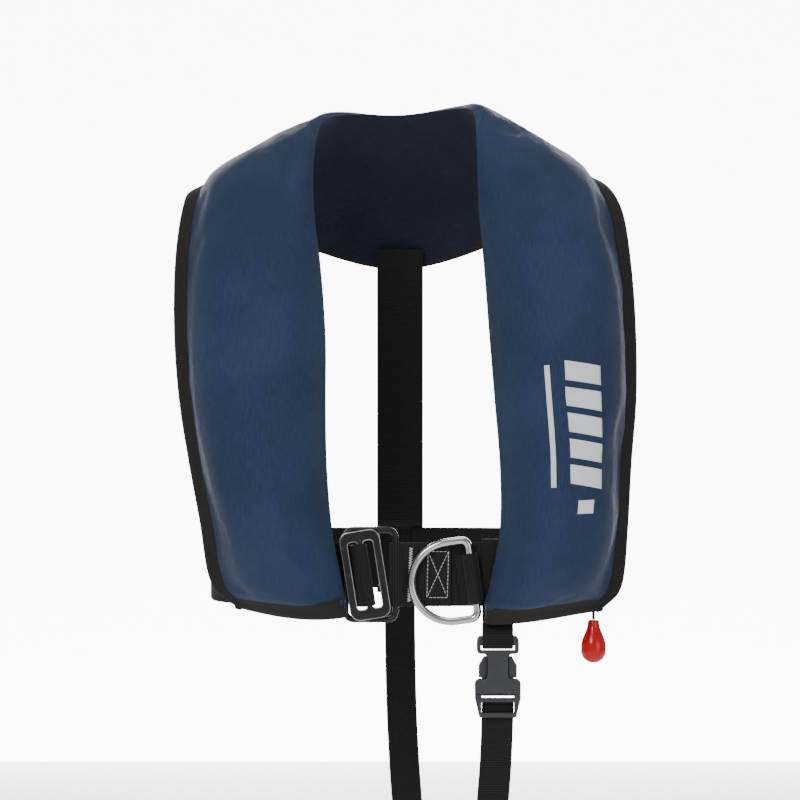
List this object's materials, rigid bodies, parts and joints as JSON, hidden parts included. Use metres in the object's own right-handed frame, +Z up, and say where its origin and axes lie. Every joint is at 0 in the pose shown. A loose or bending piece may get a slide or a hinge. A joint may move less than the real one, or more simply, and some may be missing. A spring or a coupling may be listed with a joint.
{
  "type": "inflatable life jacket",
  "caption": "Horseshoe yoke life jacket with a packed bladder, waist belt with steel plate and ring fastening, D-ring, crotch strap and pull toggle.",
  "frame": {"origin": "middle of the neck, in the plane where the yoke rests on the wearer's shoulders", "axes": "+Z up, the wearer faces -Y, +X to the wearer's left"},
  "size_m": [0.3692, 0.2596, 0.6745],
  "materials": {
    "navy_fabric": "woven polyester oxford with a soft sheen",
    "lining": "dark plain lining",
    "binding": "ribbed black tape",
    "black_webbing": "ribbed polyester webbing",
    "thread": "white bonded thread",
    "print_white": "screen printed ink",
    "stainless": "polished stainless steel",
    "coated_steel": "dark coated steel, bright where the edges are polished",
    "buckle_plastic": "charcoal moulded acetal",
    "toggle_red": "glossy red plastic",
    "cord_black": "braided cord",
    "tape_black": "hook and loop tape",
    "bladder_yellow": "coated nylon",
    "reflective": "retro-reflective tape",
    "becket_orange": "flat webbing",
    "body_plastic": "black moulded nylon",
    "pin_steel": "turned steel",
    "bottle_steel": "zinc plated steel",
    "rubber_black": "moulded rubber",
    "sensor_yellow": "moulded cap",
    "bobbin_white": "pressed ring",
    "clip_green": "moulded clip",
    "brass_stem": "turned brass",
    "whistle_orange": "moulded plastic"
  },
  "bodies": {
    "jacket": {"cover_front": "navy_fabric", "cover_back_panel": "lining", "edge_binding": "binding", "closure_hook_tape": "tape_black", "closure_loop_tape": "tape_black", "bladder": "bladder_yellow", "reflective_patches": "reflective", "lifting_becket": "becket_orange", "printed_mark": "print_white", "belt_right": "black_webbing", "belt_left": "black_webbing", "belt_keepers": "black_webbing", "belt_stitching": "thread", "back_strap": "black_webbing", "d_ring_loop": "black_webbing", "crotch_anchor": "black_webbing", "release_socket": "buckle_plastic", "crotch_strap": "black_webbing", "inflator_body": "body_plastic", "lever_pin": "pin_steel", "firing_spring": "pin_steel", "status_clip": "clip_green", "cylinder_gasket": "rubber_black", "manifold_stem": "brass_stem", "stem_gasket": "rubber_black", "oral_tube": "rubber_black", "oral_valve": "bobbin_white", "whistle": "whistle_orange", "whistle_keeper": "black_webbing"},
    "d_ring": {"d_ring": "stainless"},
    "plate": {"buckle_plate": "coated_steel", "plate_webbing": "black_webbing"},
    "ring": {"buckle_ring": "coated_steel"},
    "plug": {"release_plug": "buckle_plastic"},
    "latch_right": {"latch_arm_right": "buckle_plastic"},
    "latch_left": {"latch_arm_left": "buckle_plastic"},
    "pull": {"pull_cord": "cord_black"},
    "toggle": {"toggle": "toggle_red"},
    "lever": {"inflator_lever": "toggle_red"},
    "striker": {"firing_pin": "pin_steel"},
    "bottle": {"co2_cylinder": "bottle_steel"},
    "sensor": {"auto_cap": "sensor_yellow", "water_bobbin": "bobbin_white"},
    "nut": {"clamp_nut": "body_plastic"},
    "mouth_cap": {"oral_cap": "body_plastic"}
  },
  "joints": [
    {"name": "d_ring_swing", "type": "hinge", "parent": "jacket", "child": "d_ring", "pos_m": [0.057, -0.1102, -0.342], "axis": [-0.1392, 0, 0.9903], "range_deg": [0, 95]},
    {"name": "plate_swing", "type": "hinge", "parent": "jacket", "child": "plate", "pos_m": [-0.04014, -0.1113, -0.34103], "axis": [0.1564, 0, -0.9877], "range_deg": [0, 10]},
    {"name": "ring_swing", "type": "hinge", "parent": "jacket", "child": "ring", "pos_m": [-0.0035, -0.1068, -0.339], "axis": [0, 0, -1], "range_deg": [0, 2]},
    {"name": "plug_release", "type": "slide", "parent": "jacket", "child": "plug", "axis": [0, 0, -1], "range_m": [0, 0.035], "deforming": ["crotch_strap"]},
    {"name": "latch_right_press", "type": "hinge", "parent": "plug", "child": "latch_right", "pos_m": [0.0656, -0.104, -0.4315], "axis": [0, 1, 0], "range_deg": [0, 8], "stiffness_Nm_per_rad": 0.05},
    {"name": "latch_left_press", "type": "hinge", "parent": "plug", "child": "latch_left", "pos_m": [0.0874, -0.104, -0.4315], "axis": [0, -1, 0], "range_deg": [0, 8], "stiffness_Nm_per_rad": 0.05},
    {"name": "toggle_pull", "type": "slide", "parent": "jacket", "child": "pull", "axis": [0, 0, -1], "range_m": [0, 0.01], "deforming": ["firing_spring"]},
    {"name": "toggle_swing", "type": "hinge", "parent": "pull", "child": "toggle", "pos_m": [0.152, -0.0895, -0.371], "axis": [0, 1, 0], "range_deg": [-30, 30]},
    {"name": "lever_turn", "type": "hinge", "parent": "jacket", "child": "lever", "pos_m": [0.14094, -0.1223, -0.32381], "axis": [-0.3726, 0.9221, -0.1045], "range_deg": [0, 30.1]},
    {"name": "pin_strike", "type": "slide", "parent": "jacket", "child": "striker", "axis": [-0.0392, 0.0969, 0.9945], "range_m": [0, 0.0021]},
    {"name": "bottle_unscrew", "type": "hinge", "parent": "jacket", "child": "bottle", "pos_m": [0.1359, -0.1205, -0.29], "axis": [-0.0392, 0.0969, 0.9945], "range_deg": [0, 360]},
    {"name": "sensor_unscrew", "type": "hinge", "parent": "jacket", "child": "sensor", "pos_m": [0.12402, -0.12846, -0.33695], "axis": [-0.0392, 0.0969, 0.9945], "range_deg": [-90, 0]},
    {"name": "nut_unscrew", "type": "hinge", "parent": "jacket", "child": "nut", "pos_m": [0.12246, -0.12728, -0.30193], "axis": [0.3726, -0.9221, 0.1045], "range_deg": [0, 360]},
    {"name": "mouth_cap_lift", "type": "slide", "parent": "jacket", "child": "mouth_cap", "axis": [0.0457, 0.113, 0.9925], "range_m": [0, 0.012]}
  ],
  "couplings": [
    {"joint": "lever_turn", "follows": "toggle_pull", "rad_per_m": 52.36},
    {"joint": "pin_strike", "follows": "toggle_pull", "ratio": 0.2}
  ]
}
